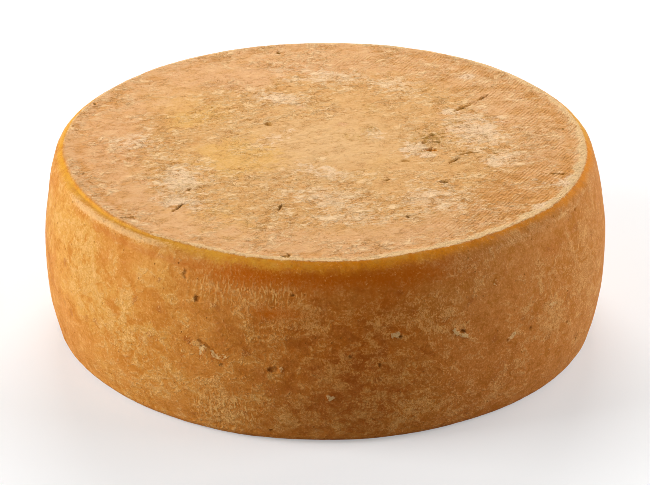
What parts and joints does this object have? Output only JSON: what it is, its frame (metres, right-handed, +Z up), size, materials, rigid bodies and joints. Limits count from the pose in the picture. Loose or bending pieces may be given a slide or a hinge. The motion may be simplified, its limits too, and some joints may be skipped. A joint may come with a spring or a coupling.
{
  "type": "cheese wheel",
  "caption": "Whole uncut round of washed-rind cheese with flat faces, a raised lip round the top and a bulging side.",
  "frame": {"origin": "middle of the wheel's box, at the height of the flat lower face", "axes": "+Z up along the wheel's turning axis; +X to the right and -Y towards the side that carries the holes and flakes described in the report"},
  "size_m": [0.3006, 0.3006, 0.1013],
  "materials": {
    "rind": null
  },
  "bodies": {
    "root": {"cheese_wheel": "rind"}
  },
  "joints": []
}
